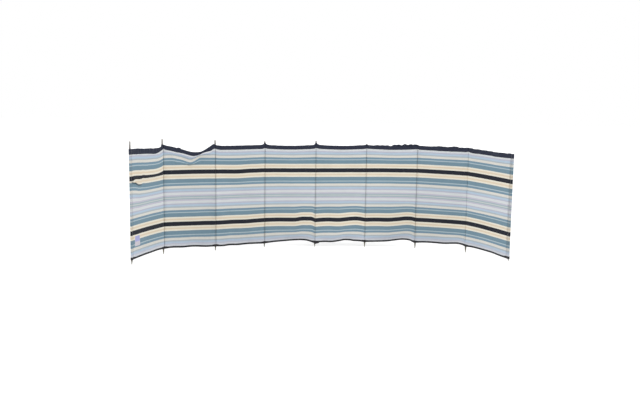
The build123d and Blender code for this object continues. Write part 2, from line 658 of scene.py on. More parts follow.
@dataclass(frozen=True)
class LabelCloth:
    """Plain satin label: a violet field above a pale one, with nothing written on it.

    Fields:
        split: height of the line between the two fields, as a share of the label.
        lines: how many faint upright lines cross the pale field.
        rows: how many rows of satin lie up the label.
        pale: the pale field's colour, on screen.
        lined: the colour of its lines.
        violet: the violet field's colour.
        cloudy: its paler clouds.
        border: the woven edge's colour.
    """

    split: float = 0.42
    lines: int = 5
    rows: int = 110
    pale: Rgb = (210, 203, 212)
    lined: Rgb = (190, 184, 190)
    violet: Rgb = (154, 158, 216)
    cloudy: Rgb = (180, 180, 222)
    border: Rgb = (214, 210, 224)

    def make(self) -> bpy.types.Material:
        """The label's material.

        Returns:
            The finished material.
        """
        nodes = MaterialNodes("label_cloth")
        place, across, up = nodes.across_cloth()
        clouds = nodes.noise(place, (3.0, 3.0, 1.0), detail=3.0)
        lines = across.ribs(1 / self.lines).clear_of(0.55, 0.9)
        pale = nodes.tint(linear(self.pale), linear(self.lined), lines * 0.6)
        violet = nodes.tint(linear(self.violet), linear(self.cloudy), clouds)
        fields = nodes.tint(pale, violet, up.clear_of(self.split - 0.01, self.split + 0.01))
        inside = (0.5 - abs(up - 0.5)).clear_of(0.03, 0.05)
        inside = inside * (0.5 - abs(across - 0.5)).clear_of(0.035, 0.06)
        framed = nodes.tint(fields, linear(self.border), 1 - inside)
        return nodes.surface(
            bump=up.ribs(1 / self.rows),
            depth=0.1 * MM,
            Base_Color=nodes.shaded(framed, 0.95 + 0.1 * clouds),
            Roughness=0.42 + 0.12 * clouds,
            Sheen_Weight=0.15,
        )


# ---- Meshes ----


def add_object(name: str, data: bpy.types.ID) -> bpy.types.Object:
    """Puts a mesh, a lamp or a camera into the scene.

    Args:
        name: the object's name.
        data: its mesh, lamp or camera.

    Returns:
        The new object.
    """
    added = bpy.data.objects.new(name, data)
    bpy.context.scene.collection.objects.link(added)
    return added


def grid_piece(
    name: str,
    points: Points,
    uv: Points,
    material: bpy.types.Material,
    thickness: float,
    painted_shade: np.ndarray | None = None,
) -> bpy.types.Object:
    """Makes a thin sheet from a grid of points.

    Args:
        name: the piece's name.
        points: places, as columns by rows by 3.
        uv: distances along and up the cloth, as columns by rows by 2.
        material: its finish.
        thickness: the sheet's thickness, half on each side of the points.
        painted_shade: how much painted shade darkens each point, standing for the shade beside the
            seams, over the pockets and in creases.

    Returns:
        The new object, with a live Solidify modifier.
    """
    columns, rows = points.shape[:2]
    index = np.arange(columns * rows).reshape(columns, rows)
    corners = np.stack([index[:-1, :-1], index[1:, :-1], index[1:, 1:], index[:-1, 1:]], axis=-1)
    mesh = bpy.data.meshes.new(name)
    mesh.from_pydata(points.reshape(-1, 3).tolist(), [], corners.reshape(-1, 4).tolist())
    layer = mesh.uv_layers.new(name=UV_NAME)
    layer.data.foreach_set("uv", uv.reshape(-1, 2)[corners.reshape(-1)].astype(np.float32).ravel())
    # Painted shade goes on each point as an attribute that the cloth's material reads.
    if painted_shade is not None:
        layer = mesh.attributes.new(PAINTED_SHADE_NAME, "FLOAT", "POINT")
        layer.data.foreach_set("value", painted_shade.astype(np.float32).ravel())
    mesh.shade_smooth()
    mesh.materials.append(material)
    piece = add_object(name, mesh)
    solid = piece.modifiers.new("thickness", "SOLIDIFY")
    solid.thickness = thickness
    solid.offset = 0.0
    LOG.info("%s: a sheet of %d by %d places", name, columns, rows)
    return piece


def normals_of(points: Points) -> Points:
    """Unit normals of a grid of points, towards the sheltered side where the grid runs along +X."""
    across = np.cross(np.gradient(points, axis=0), np.gradient(points, axis=1))
    return across / np.maximum(np.linalg.norm(across, axis=-1, keepdims=True), 1e-9)


def lengths_along(path: Points) -> np.ndarray:
    """Distance from the start of a path to each of its points."""
    steps = np.linalg.norm(np.diff(path, axis=0), axis=1)
    return np.concatenate([[0.0], np.cumsum(steps)])


# ---- Where the frame puts things ----


@dataclass(frozen=True)
class Seam:
    """The upright line where the cloth is gathered to a pole's pocket.

    Fields:
        place: where it stands in plan.
        pole: the centre of its pole in plan.
        bottom: height of the cloth's lower edge there.
    """

    place: np.ndarray
    pole: np.ndarray
    bottom: float

    @property
    def towards_pole(self) -> np.ndarray:
        """Unit direction from the seam to the pole."""
        way = self.pole - self.place
        return way / np.linalg.norm(way)


class Layout:
    """Plan and heights of the windbreak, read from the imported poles, pockets and panels."""

    def __init__(self) -> None:
        """Reads every seam and the height of the cloth."""
        poles = np.array([self._centre(f"pole_{number}") for number in range(1, POLES + 1)])
        ends = [self._panel_ends(number, poles) for number in range(1, BAYS + 1)]
        places = [ends[0][0]]
        places += [(ends[bay][1] + ends[bay + 1][0]) / 2 for bay in range(BAYS - 1)]
        places.append(ends[-1][1])
        bottoms = [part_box(f"pocket_{number}")[0].z for number in range(1, POLES + 1)]
        self.seams = [Seam(*seam) for seam in zip(places, poles, bottoms)]
        low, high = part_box(f"pocket_{MIDDLE_POLE}")
        self.height = high.z - low.z
        low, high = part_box(f"pole_{MIDDLE_POLE}")
        self.pole_radius = (high.x - low.x) / 2

    @staticmethod
    def _centre(node: str) -> np.ndarray:
        """Middle of a node's box in plan."""
        low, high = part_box(node)
        return np.array([(low.x + high.x) / 2, (low.y + high.y) / 2])

    @staticmethod
    def vertices(node: str) -> Points:
        """The corners of a node's mesh."""
        return np.array([vertex.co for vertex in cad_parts[node].data.vertices])

    def _panel_ends(self, number: int, poles: Points, within: float = 0.8 * MM) -> list[np.ndarray]:
        """Middles in plan of a panel's two upright ends, from its corners within that reach of them.

        Args:
            number: the panel's number.
            poles: the poles' centres in plan.
            within: how near an end its corners are.

        Returns:
            The two middles, first and last.
        """
        way = poles[number] - poles[number - 1]
        plan = self.vertices(f"panel_{number}")[:, :2]
        reach = plan @ (way / np.linalg.norm(way))
        ends = (reach - reach.min(), reach.max() - reach)
        return [plan[inside < within].mean(axis=0) for inside in ends]

    def bay(self, bay: int) -> tuple[np.ndarray, np.ndarray, float]:
        """A bay's first seam in plan, the unit direction to its second, and its width.

        Args:
            bay: which bay, from 0.

        Returns:
            The seam, the direction and the width.
        """
        first, last = self.seams[bay].place, self.seams[bay + 1].place
        width = float(np.linalg.norm(last - first))
        return first, (last - first) / width, width


# ---- The hang of the cloth ----


# Between these distances up the cloth, or down from its top, one lift gives way to the next.
OFF_BOTTOM, TO_MIDDLE, OFF_MIDDLE, TO_TOP = (0, 190), (300, 580), (560, 840), (0, 300)


@dataclass(frozen=True)
class Spots:
    """Places on a bay.

    Fields:
        share: how far along it they are, as a column of shares from 0 to 1.
        up: how far up the cloth, as a row.
        height: height of the cloth.
    """

    share: np.ndarray
    up: np.ndarray
    height: float

    @property
    def down(self) -> np.ndarray:
        """How far below the upper edge they are."""
        return self.height - self.up


def over_height(
    spots: Spots,
    bottom: np.ndarray | float,
    lower: np.ndarray | float,
    upper: np.ndarray | float,
    top: np.ndarray | float = 0.0,
) -> Points:
    """Spreads lifts that are known at four heights over the whole height of the cloth.

    Args:
        spots: where on the cloth.
        bottom: lift of the lower edge, in millimetres, as are all the lifts.
        lower: lift of the stripes about a quarter of the way up.
        upper: lift of the stripes about three quarters of the way up.
        top: lift of the upper edge.

    Returns:
        Lifts in metres.
    """
    at_top = 1 - ramp(spots.down, *TO_TOP)
    off_bottom = ramp(spots.up, *OFF_BOTTOM)
    low = bottom * (1 - off_bottom) + lower * off_bottom * (1 - ramp(spots.up, *TO_MIDDLE))
    return MM * (low + upper * ramp(spots.up, *OFF_MIDDLE) * (1 - at_top) + top * at_top)


@dataclass(frozen=True)
class Hang:
    """How one bay hangs. Sizes are in millimetres.

    Shares run from 0 at the bay's first seam to 1 at its second. Lifts are measured from where
    the cloth would be if it hung straight between the two seams.

    Fields:
        belly: how far back its middle is blown.
        top: (share, lift) of the upper edge.
        bottom: (share, lift) of the lower edge.
        lower: (share, lift) of the stripes about a quarter of the way up.
        upper: (share, lift) of the stripes about three quarters of the way up.
        curl: how far back the lower edge is rolled at the middle.
        curl_height: how far up the cloth that is felt.
        pucker: height of the ripples in the top hem.
        loose: (share, height) of the top tape's fold above the cloth's edge.
        below: (share, height) of the bottom tape's fold below the cloth's edge.
        hem: (share, width) of the top tape beyond its least width.
        crease: (share, height) of a sharp crease above the lower edge.
        creased: (share, depth) of that crease, from 0 to 1; it sets how far back the crease sinks and
            how much painted shade it gets.
        crease_width: half its width.
        sunk: how far back it lies where it is deepest.
    """

    belly: float
    top: ControlPoints = level(0)
    bottom: ControlPoints = level(0)
    lower: ControlPoints = level(0)
    upper: ControlPoints = level(0)
    curl: float = 8
    curl_height: float = 80
    pucker: float = 0.8
    loose: ControlPoints = level(2)
    below: ControlPoints = level(0.5)
    hem: ControlPoints = level(2)
    crease: ControlPoints = level(0)
    creased: ControlPoints = level(0)
    crease_width: float = 7
    sunk: float = 4

    def depth(self, share: np.ndarray) -> np.ndarray:
        """How deep the bay's crease is at each share, from 0 to 1."""
        return np.clip(through(self.creased, share), 0.0, 1.0)

    def crease_at(self, spots: Spots) -> Points:
        """How deep in its crease each place of the cloth lies, from 0 to 1."""
        away = (spots.up - MM * through(self.crease, spots.share)) / (self.crease_width * MM)
        return self.depth(spots.share) * np.exp(-(away**2))

    def rise(self, spots: Spots) -> np.ndarray:
        """How far each place of the cloth lies above where it would if it hung straight."""
        curves = (self.bottom, self.lower, self.upper, self.top)
        return over_height(spots, *(through(curve, spots.share) for curve in curves))

    def blow(self, spots: Spots) -> np.ndarray:
        """How far back each place of the cloth lies behind the line from seam to seam.

        Args:
            spots: where on the bay.

        Returns:
            Distances in metres, columns by rows.
        """
        arch = 4 * spots.share * (1 - spots.share)
        rolled = self.curl * (1 - ramp(spots.up, 0, self.curl_height)) * np.sqrt(np.clip(arch, 0.0, 1.0))
        sunk = self.sunk * self.crease_at(spots)
        return MM * (self.belly * arch * np.ones_like(spots.up) + rolled + sunk)


@dataclass(frozen=True)
class Cowl(Hang):
    """A bay whose slack upper edge has dropped, so that the cloth hangs over in a fold below it.

    The edge's drop is taken up just below the hem, and the fold's drop above the fold's foot.

    Fields:
        fold: (share, lift) of the cloth that hangs over the fold's foot.
        turned: (share, lift) of the top hem's lower edge, where the hem has turned over or back.
        taken_up: distances below the edge between which the cloth takes up the edge's drop.
        foot: distances below the edge between which it takes up the fold's drop.
        fullness: how far the cloth stands out there, as a share of what it would allow.
    """

    fold: ControlPoints = level(0)
    turned: ControlPoints = level(0)
    taken_up: tuple[float, float] = (45, 115)
    foot: tuple[float, float] = (170, 226)
    fullness: float = 0.5

    def _slips(self, spots: Spots) -> list[Points]:
        """The rises that the dropped edge and the hanging fold give, each apart.

        Args:
            spots: where on the bay.

        Returns:
            Two rises in metres, columns by rows.
        """
        edge, fold = (through(curve, spots.share) for curve in (self.top, self.fold))
        down = spots.down / MM
        slips = []
        for lift, (start, end) in ((edge - fold, self.taken_up), (fold, self.foot)):
            slips.append(MM * lift * np.clip((end - down) / (end - start), 0, 1))
        return slips

    def rise(self, spots: Spots) -> np.ndarray:
        """Rises as on any bay, but with the dropped edge felt only above the fold's foot.

        Args:
            spots: where on the bay.

        Returns:
            Rises in metres, columns by rows.
        """
        curves = (through(curve, spots.share) for curve in (self.bottom, self.lower, self.upper))
        at_hem = ramp(spots.down, 0, self.taken_up[0]) * (1 - ramp(spots.down, *self.taken_up))
        turned = MM * through(self.turned, spots.share) * at_hem
        return over_height(spots, *curves) + sum(self._slips(spots)) + turned

    def blow(self, spots: Spots) -> np.ndarray:
        """Blown back as on any bay, and out in front where cloth is taken up.

        Args:
            spots: where on the bay.

        Returns:
            Distances in metres, columns by rows.
        """
        blown = super().blow(spots)
        for slip, (start, end) in zip(self._slips(spots), (self.taken_up, self.foot)):
            knee = spots.height - MM * (start + end) / 2
            blown = blown + self.fullness * fold_out(slip, spots.up, knee)
        return blown


@dataclass(frozen=True)
class Pleat:
    """A lip of cloth that hangs over the cloth below it. Sizes are in millimetres.

    Fields:
        lip: (share, height) of the lip's edge above the lower edge.
        dropped: (share, distance) that the cloth above the lip has slipped down.
        raised: (share, distance) that the cloth below the lip has slipped up.
        settled: height over which the cloth above the lip comes back to the bay's own curve.
        spread: height below the lip over which the cloth that slipped up is felt.
        least: the least cloth that is folded in behind the lip.
        packed: how many times its own height of cloth lies behind it, at the pole and beyond.
        beyond: the share of the bay at which "beyond" begins.
        freed: the share at which the lip stands free of the pole.
        shade: how far below the folded cloth its shade is darkest, and half the shade's width.
        shading: how much cloth is folded in where the shade is full.
    """

    lip: ControlPoints
    dropped: ControlPoints
    raised: ControlPoints
    settled: float = 90
    spread: float = 380
    least: float = 4
    packed: tuple[float, float] = (0.9, 1.6)
    beyond: float = 0.05
    freed: float = 0.04
    shade: tuple[float, float] = (5, 8)
    shading: float = 9

    def _taken_up(self, share: np.ndarray) -> tuple[np.ndarray, ...]:
        """Height of the lip, its slips down and up, and the height of the cloth behind it.

        Args:
            share: places along the bay, as a column of shares.

        Returns:
            The four, in metres.
        """
        curves = (self.lip, self.dropped, self.raised)
        lip, dropped, raised = (MM * through(curve, share) for curve in curves)
        at_pole, beyond = self.packed
        packed = at_pole + (beyond - at_pole) * ease(share / self.beyond)
        return lip, dropped, raised, np.maximum(dropped + raised, self.least * MM) / packed

    def rise(self, spots: Spots) -> np.ndarray:
        """How far each place of the cloth has slipped up.

        Args:
            spots: where on the bay.

        Returns:
            Rises in metres, columns by rows.
        """
        up, (lip, dropped, raised, behind) = spots.up, self._taken_up(spots.share)
        above = -dropped * (1 - ease((up - lip) / (spots.height - lip)))
        below = raised * (1 - ramp(lip - behind - up, 0, self.spread))
        under = np.clip((lip - up) / behind, 0.0, 1.0)
        within = (dropped + raised) * under - dropped
        return np.where(up >= lip, above, np.where(under < 1, within, below))

    def stand_out(self, spots: Spots) -> np.ndarray:
        """How far each place of the cloth stands out in front.

        Args:
            spots: where on the bay.

        Returns:
            Distances in metres, columns by rows.
        """
        up, (lip, dropped, raised, behind) = spots.up, self._taken_up(spots.share)
        kept = np.clip(1 - (dropped + raised) / behind, -1.0, 1.0)
        stand = np.sqrt(1 - kept**2) * behind * ease(spots.share / self.freed)
        under = np.clip((lip - up) / behind, 0.0, 1.0)
        return stand * np.where(up >= lip, 1 - ramp(up - lip, 0, self.settled), 1 - under)

    def shadow(self, spots: Spots) -> np.ndarray:
        """How deep in the lip's shade each place of the cloth lies, from 0 to 1.

        Args:
            spots: where on the bay.

        Returns:
            Depths of shade, columns by rows.
        """
        lip, dropped, raised, _ = self._taken_up(spots.share)
        below, width = self.shade
        away = (spots.up - lip + dropped + raised + below * MM) / (width * MM)
        return ramp(dropped + raised, 0, self.shading) * np.exp(-(away**2))


@dataclass(frozen=True)
class Tuck(Hang):
    """A bay whose cloth has slipped together in pleats that start at its first pole.

    Fields:
        pleats: one for each lip.
    """

    pleats: tuple[Pleat, ...] = ()

    def crease_at(self, spots: Spots) -> Points:
        """The shade under each lip, as strong as the bay's crease is deep there."""
        shadows = sum(pleat.shadow(spots) for pleat in self.pleats)
        return self.depth(spots.share) * np.clip(shadows, 0.0, 1.0)

    def rise(self, spots: Spots) -> np.ndarray:
        """Rises as on any bay, with the slips of the pleats added."""
        return super().rise(spots) + sum(pleat.rise(spots) for pleat in self.pleats)

    def blow(self, spots: Spots) -> np.ndarray:
        """Blown back as on any bay, and out in front at the lips."""
        return super().blow(spots) - sum(pleat.stand_out(spots) for pleat in self.pleats)


def fold_out(rises: Points, up: np.ndarray, knee: float, onset: float = 0.12) -> Points:
    """Where cloth that is pushed together goes: forward up to the knee of the fold, then back.

    Args:
        rises: how far each place has moved up or down, columns by rows.
        up: distance up the cloth, as a row.
        knee: height of the knee.
        onset: share of spare cloth up to which it hardly folds.

    Returns:
        Distances behind the hanging line, which are negative in front of it.
    """
    heights = np.broadcast_to(up, rises.shape)
    steps = np.gradient(heights, axis=1)
    kept = 1 + np.gradient(rises, axis=1) / steps
    lean = np.sqrt(1 - np.clip(kept, 0.0, 1.0) ** 2) * ease((1 - kept) / onset)
    below = np.cumsum(np.where(heights < knee, lean * steps, 0.0), axis=1)
    above = np.cumsum(np.where(heights < knee, 0.0, lean * steps), axis=1)
    out, back = below[:, -1:], np.maximum(above[:, -1:], 1e-9)
    reach = np.minimum(out, back)
    return -reach * (below / np.maximum(out, 1e-9) - above / back)


SAGGING_TOP = pinned((0.25, -7), (0.5, -12), (0.75, -8))
BAY_HANGS: tuple[Hang, ...] = (
    Tuck(
        belly=14,
        top=pinned(
            (0.24, -7), (0.38, -16), (0.5, -21), (0.62, -24), (0.74, -26), (0.86, -26), (0.95, -12)
        ),
        bottom=pinned((0.33, 1), (0.6, 1), (0.8, 5)),
        pucker=2.2,
        hem=(
            (0, 14), (0.14, 16), (0.26, 16), (0.38, 12), (0.51, 12), (0.63, 15), (0.76, 17),
            (0.88, 5), (1, 4)
        ),
        creased=((0, 0.2), (0.04, 0.6), (0.1, 1), (0.28, 0.9), (0.38, 0.2), (0.5, 0.1), (1, 0)),
        pleats=(
            Pleat(
                lip=level(888),
                dropped=pinned(
                    (0.12, 6), (0.2, 6), (0.3, 10), (0.4, 20), (0.6, 26), (0.75, 27), (0.9, 17)
                ),
                raised=pinned((0.12, 6), (0.2, 6), (0.3, 3), (0.4, -5), (0.6, -8), (0.8, -7)),
            ),
            Pleat(
                lip=((0, 850), (0.06, 838), (0.12, 826), (0.2, 808), (0.3, 806), (1, 806)),
                dropped=((0, 12), (0.12, 6), (0.2, 9), (0.3, 10), (0.37, 0), (0.45, 0), (1, 0)),
                raised=((0, 28), (0.12, 14), (0.2, 4), (0.3, -1), (0.37, 0), (0.45, 0), (1, 0)),
            ),
        ),
    ),
    Cowl(
        belly=30,
        top=pinned(
            (0.07, -9), (0.13, -16), (0.25, -33), (0.37, -52), (0.49, -74), (0.60, -84),
            (0.67, -82), (0.73, -76), (0.78, -61), (0.84, -38), (0.90, -14), (0.96, 11)
        ),
        bottom=pinned((0.15, 3), (0.38, -2), (0.55, 3), (0.8, -3)),
        lower=pinned((0.6, -3)),
        loose=((0, 2), (0.27, 2), (0.31, 14), (0.34, 3), (1, 2)),
        hem=level(8),
        fold=pinned(
            (0.18, 0), (0.27, -10), (0.35, -21), (0.43, -38), (0.51, -52), (0.56, -48),
            (0.6, -37), (0.65, -19), (0.7, -3), (0.74, 0), (0.8, 0)
        ),
        crease=level(972),
        creased=pinned((0.4, 0), (0.45, 0.1), (0.49, 0.8), (0.54, 0.5), (0.58, 0), (0.65, 0)),
        turned=pinned(
            (0.1, 0), (0.23, -2), (0.45, 5), (0.57, 2), (0.66, 6), (0.76, 18), (0.84, 7), (0.92, -9)
        ),
    ),
    Hang(
        belly=20,
        top=pinned((0.08, -8), (0.24, -10), (0.4, -9), (0.6, -7), (0.8, -3)),
        bottom=pinned((0.16, -6), (0.28, -1), (0.45, -6), (0.6, -2)),
        lower=pinned((0.3, -2), (0.65, -7), (0.9, -2)),
        upper=pinned((0.2, -4), (0.45, -9), (0.7, -3)),
        hem=level(4),
    ),
    Hang(
        belly=24,
        top=SAGGING_TOP,
        bottom=pinned(
            (0.13, 8), (0.37, 17), (0.61, 26), (0.76, 28), (0.84, 24), (0.92, 11), (0.97, 2)
        ),
        lower=pinned((0.25, 2), (0.45, 1), (0.6, 3), (0.76, 17), (0.84, 17), (0.94, 15)),
        upper=pinned((0.5, -2)),
        curl=20,
    ),
    Hang(
        belly=24,
        top=SAGGING_TOP,
        bottom=pinned(
            (0.16, 4), (0.36, 0), (0.48, 9), (0.58, 20), (0.68, 19), (0.8, 10), (0.88, 8)
        ),
        lower=pinned((0.25, 4), (0.5, -1), (0.62, 6), (0.85, 13)),
        upper=pinned((0.6, -2)),
        curl=20,
        below=((0, 13), (0.04, 13), (0.075, 10), (0.09, 0.5), (0.12, 0.5), (1, 0.5)),
    ),
    Hang(
        belly=24,
        top=SAGGING_TOP,
        bottom=pinned(
            (0.19, 1), (0.35, 3), (0.43, 5), (0.59, 17), (0.75, 30), (0.83, 30), (0.91, 22),
            (0.97, 4)
        ),
        lower=pinned((0.25, -1), (0.5, -4), (0.62, 2), (0.85, 14), (0.92, 12)),
        curl=20,
        pucker=1.6,
        loose=(
            (0, 2), (0.2, 4), (0.3, 9), (0.43, 9), (0.52, 16), (0.62, 18), (0.75, 19),
            (0.85, 17), (0.92, 25), (0.97, 13), (1, 8)
        ),
        hem=level(0),
    ),
    Hang(
        belly=18,
        top=pinned((0.5, -4)),
        bottom=pinned(
            (0.14, 6), (0.38, 8), (0.6, 7), (0.7, 14), (0.78, 19), (0.88, 21), (0.95, 13)
        ),
        curl=16,
        pucker=1.6,
        loose=(
            (0, 2), (0.33, 3), (0.4, 8), (0.48, 8), (0.55, 5), (0.65, 9), (0.75, 10), (0.82, 5),
            (1, 5)
        ),
        hem=level(5),
    ),
    Hang(
        belly=14,
        top=pinned((0.1, -4), (0.2, -4), (0.5, -6), (0.6, -8)),
        bottom=pinned((0.12, 6), (0.35, 8), (0.68, 5), (0.8, 0)),
        lower=pinned((0.25, 4), (0.5, 2)),
        curl=16,
        pucker=2.0,
        loose=((0, 4), (0.3, 3), (1, 3)),
        hem=level(7),
    ),
)


@dataclass(frozen=True)
class Gather:
    """How the cloth is gathered at one pole. Sizes are in millimetres.

    Fields:
        bottom: lift of the lower edge.
        lower: lift of the stripes about a quarter of the way up.
        upper: lift of the stripes about three quarters of the way up.
        peak: how far the upper edge rides up the pole.
        peak_height: how far below that edge the peak is felt.
        before: how far along the cloth it is felt towards the first pole.
        after: how far it is felt towards the last pole.
        parting: half the width of the groove between the two bays.
        shade: how much painted shade darkens the cloth at the seam, from 0 to 1.
        fade: how far that painted shade reaches into the bays before and after the pole.
    """

    bottom: float = 0
    lower: float = 0
    upper: float = 0
    peak: float = 0
    peak_height: float = 70
    before: float = 20
    after: float = 20
    parting: float = 1.7
    shade: float = 0.42
    fade: tuple[float, float] = (8, 8)

    def lift(self, spots: Spots) -> np.ndarray:
        """Lift of the cloth at the pole, at each distance up the cloth."""
        return over_height(spots, self.bottom, self.lower, self.upper)

    def peaked(self, away: np.ndarray, reach: float, spots: Spots) -> Points:
        """Lift that the peak gives, at each distance from the pole and up the cloth."""
        felt = np.exp(-((away / (reach * MM)) ** 1.5))[:, None]
        return MM * self.peak * felt * (1 - ramp(spots.down, 0, self.peak_height))


GATHERS: tuple[Gather, ...] = (
    Gather(lower=11, upper=5),
    Gather(lower=5, upper=-4, peak=3, fade=(8, 26)),
    Gather(bottom=-8, lower=-2),
    Gather(bottom=-8, lower=5, upper=5, peak=22, before=24, after=24),
    Gather(bottom=-10, lower=-5, upper=2, peak=24, before=22, after=28),
    Gather(bottom=-2, upper=4, peak=6, before=22, after=26),
    Gather(lower=11, upper=6, peak=4, before=26, after=16, shade=0.4, fade=(8, 16)),
    Gather(bottom=14, lower=22, upper=6, parting=0.7, shade=0.1),
    Gather(bottom=-2, lower=4, upper=-3, shade=0.85),
)


# ---- Sub-assemblies ----


def is_pocket(number: int) -> bool:
    """Whether a stretch of the cloth is a pocket, and not a bay."""
    return number % 2 == 0


def bay_beside(seam: int) -> tuple[int, float]:
    """The bay beside an end pocket, and the share of that bay at which the pocket is."""
    return (0, 0.0) if seam == 0 else (BAYS - 1, 1.0)


def back_of(along: np.ndarray) -> np.ndarray:
    """The way in plan from the front of a bay that runs the given way to its back."""
    return np.array([-along[1], along[0]])


@dataclass
class Cloth:
    """The striped cloth: eight bays and the nine pockets between and beside them.

    Its plan is one long path. The stretches of the path are numbered from one end to the other:
    the even ones are pockets and the odd ones are bays.

    Fields:
        layout: where the frame puts the seams and poles.
        material: its finish.
        thickness: of the canvas.
        columns: steps across a bay, between its two turned-in edges.
        rows: steps up the cloth.
        turn_in: distance from a seam at which the cloth begins to turn into the pocket.
        turn_steps: steps round that turn.
        neck: how deep behind the seam the pocket is stitched shut.
        loop_steps: steps round a pole.
        pole_room: between a pole and the cloth round it.
        hem_room: how much further a pocket stands off its pole at the two hems.
        top_zone: distances below the upper edge, in millimetres, over which that room is lost.
        bottom_zone: distances above the lower edge over which it is lost.
        allowance: how far the turned-back end reaches past the stitches.
        lap: distance of that end behind the cloth.
        painted_shade_edge: distances from an end pocket between which the painted shade beside it fades
            out.
        crease_shade: how strong the painted shade in a crease is, where 1 is as dark as the fullest
            painted shade at a seam.
        wrinkles: the soft unevenness of the bays.
        held: distance from a pole, in millimetres, within which the wrinkles are held flat.
        crimps: the short creases beside the poles.
        crimped: distances from a pole by which they are full, and by which they are gone.
        pucker_out: the ripples of the top hem to the front and the back, for a height of 1.
        pucker_up: its ripples up and down.
        puckered: distance from a pole by which these are full, and below the edge by which gone.
        slack: how loosely a pocket lies round its pole.
    """

    layout: Layout
    material: bpy.types.Material
    thickness: float = 1.0 * MM
    columns: int = 88
    rows: int = 200
    turn_in: float = 9 * MM
    turn_steps: int = 7
    neck: float = 7 * MM
    loop_steps: int = 28
    pole_room: float = 0.4 * MM
    hem_room: float = 0.9 * MM
    top_zone: tuple[float, float] = (45, 75)
    bottom_zone: tuple[float, float] = (30, 60)
    allowance: float = 12 * MM
    lap: float = 3.1 * MM
    painted_shade_edge: tuple[float, float] = (12, 18)
    crease_shade: float = 3.0
    wrinkles: tuple[Ripple, ...] = (
        Ripple(2.2 * MM, along=0.42, up=0.60, seed=11),
        Ripple(0.8 * MM, along=0.13, up=0.22, seed=12),
        Ripple(0.25 * MM, along=0.045, up=0.08, seed=13),
    )
    held: float = 70
    crimps: Ripple = Ripple(0.9 * MM, along=2.0, up=0.045, seed=40)
    crimped: tuple[float, float] = (10, 90)
    pucker_out: Ripple = Ripple(1.0, along=0.06, up=5.0, seed=60, waves=9)
    pucker_up: Ripple = Ripple(0.5, along=0.09, up=5.0, seed=80)
    puckered: tuple[float, float] = (25, 90)
    slack: Ripple = Ripple(0.7 * MM, along=0.05, up=0.11, seed=100)

    def __post_init__(self) -> None:
        """Lays out the whole cloth, pocket by pocket and bay by bay."""
        self.height = self.layout.height
        self.up = np.linspace(0.0, self.height, self.rows + 1)
        self.paths: list[Points] = []
        self.distances: list[np.ndarray] = []
        reached = 0.0
        for number in range(BAYS + POLES):
            lay = self._pocket_path if is_pocket(number) else self._bay_path
            self.paths.append(lay(number // 2))
            self.distances.append(reached + lengths_along(self.paths[-1]))
            reached = float(self.distances[-1][-1])
        self.grids = []
        for number in range(BAYS + POLES):
            hang = self._pocket_grid if is_pocket(number) else self._bay_grid
            self.grids.append(hang(number // 2))
        self.facings = [normals_of(grid) for grid in self.grids]

    def _beside(self, seam: int, bay: int) -> np.ndarray:
        """Unit direction across a pocket's neck, towards the given bay.

        Args:
            seam: the pocket's seam.
            bay: a bay on one side of it.

        Returns:
            The direction in plan.
        """
        pole_way = self.layout.seams[seam].towards_pole
        other = self.layout.seams[bay + 1 if seam == bay else bay].place
        away = other - self.layout.seams[seam].place
        beside = away - pole_way * (away @ pole_way)
        return beside / np.linalg.norm(beside)

    def _turned_in(self, seam: int, bay: int, inner: np.ndarray) -> Points:
        """The curve by which a bay's cloth turns back into a pocket, from the neck outwards.

        Args:
            seam: the pocket's seam.
            bay: the bay whose cloth it is.
            inner: where that bay's straight cloth starts.

        Returns:
            Places in plan, without the last.
        """
        at = self.layout.seams[seam]
        corner = at.place + GATHERS[seam].parting * MM * self._beside(seam, bay)
        neck = corner + at.towards_pole * self.neck
        t = np.linspace(0.0, 1.0, self.turn_steps + 1)[:-1, None]
        return (1 - t) ** 2 * neck + 2 * t * (1 - t) * corner + t * t * inner

    def _bay_path(self, bay: int) -> Points:
        """Plan of one bay of cloth without its belly, from the neck of one pocket to the next.

        Args:
            bay: which bay, from 0.

        Returns:
            Places in plan.
        """
        first, along, width = self.layout.bay(bay)
        low = 0.0 if bay == 0 else self.turn_in
        high = width if bay == BAYS - 1 else width - self.turn_in
        parts = [first + along * np.linspace(low, high, self.columns)[:, None]]
        if bay > 0:
            parts.insert(0, self._turned_in(bay, bay, parts[0][0]))
        if bay < BAYS - 1:
            parts.append(self._turned_in(bay + 1, bay, parts[-1][-1])[::-1])
        return np.concatenate(parts)

    def _pocket_path(self, seam: int) -> Points:
        """Plan of the loop of cloth round a pole, from its first stitches round to its last.

        Args:
            seam: which seam, from 0.

        Returns:
            Places in plan.
        """
        at = self.layout.seams[seam]
        out = at.towards_pole
        end_pocket = seam in (0, BAYS)
        neck = 0.0 if end_pocket else self.neck
        back = back_of(self.layout.bay(min(seam, BAYS - 1))[1])
        side = back * (-1 if seam == 0 else 1) if end_pocket else self._beside(seam, seam)
        radius = self.layout.pole_radius + self.pole_room + self.thickness / 2
        touch = math.acos(min(1.0, radius / (np.linalg.norm(at.pole - at.place) - neck)))
        turn = np.linspace(touch, 2 * math.pi - touch, self.loop_steps + 1)[:, None]
        loop = at.pole - radius * (out * np.cos(turn) + side * np.sin(turn))
        if not end_pocket:
            gap = GATHERS[seam].parting * MM * side
            return np.concatenate([[at.place + out * neck - gap], loop, [at.place + out * neck + gap]])
        lapped = at.place + back * self.lap
        inside = lapped - out * self.allowance
        if seam == 0:
            return np.concatenate([[inside, lapped], loop, [at.place]])
        return np.concatenate([[at.place], loop, [lapped, inside]])

    def shares(self, bay: int) -> np.ndarray:
        """How far along its bay each column of cloth stands, from 0 to 1."""
        first, along, width = self.layout.bay(bay)
        return np.clip((self.paths[2 * bay + 1] - first) @ along / width, 0.0, 1.0)

    def _spots(self, share: np.ndarray | float) -> Spots:
        """All the heights of the cloth at the given shares of a bay."""
        return Spots(np.reshape(share, (-1, 1)), self.up[None, :], self.height)

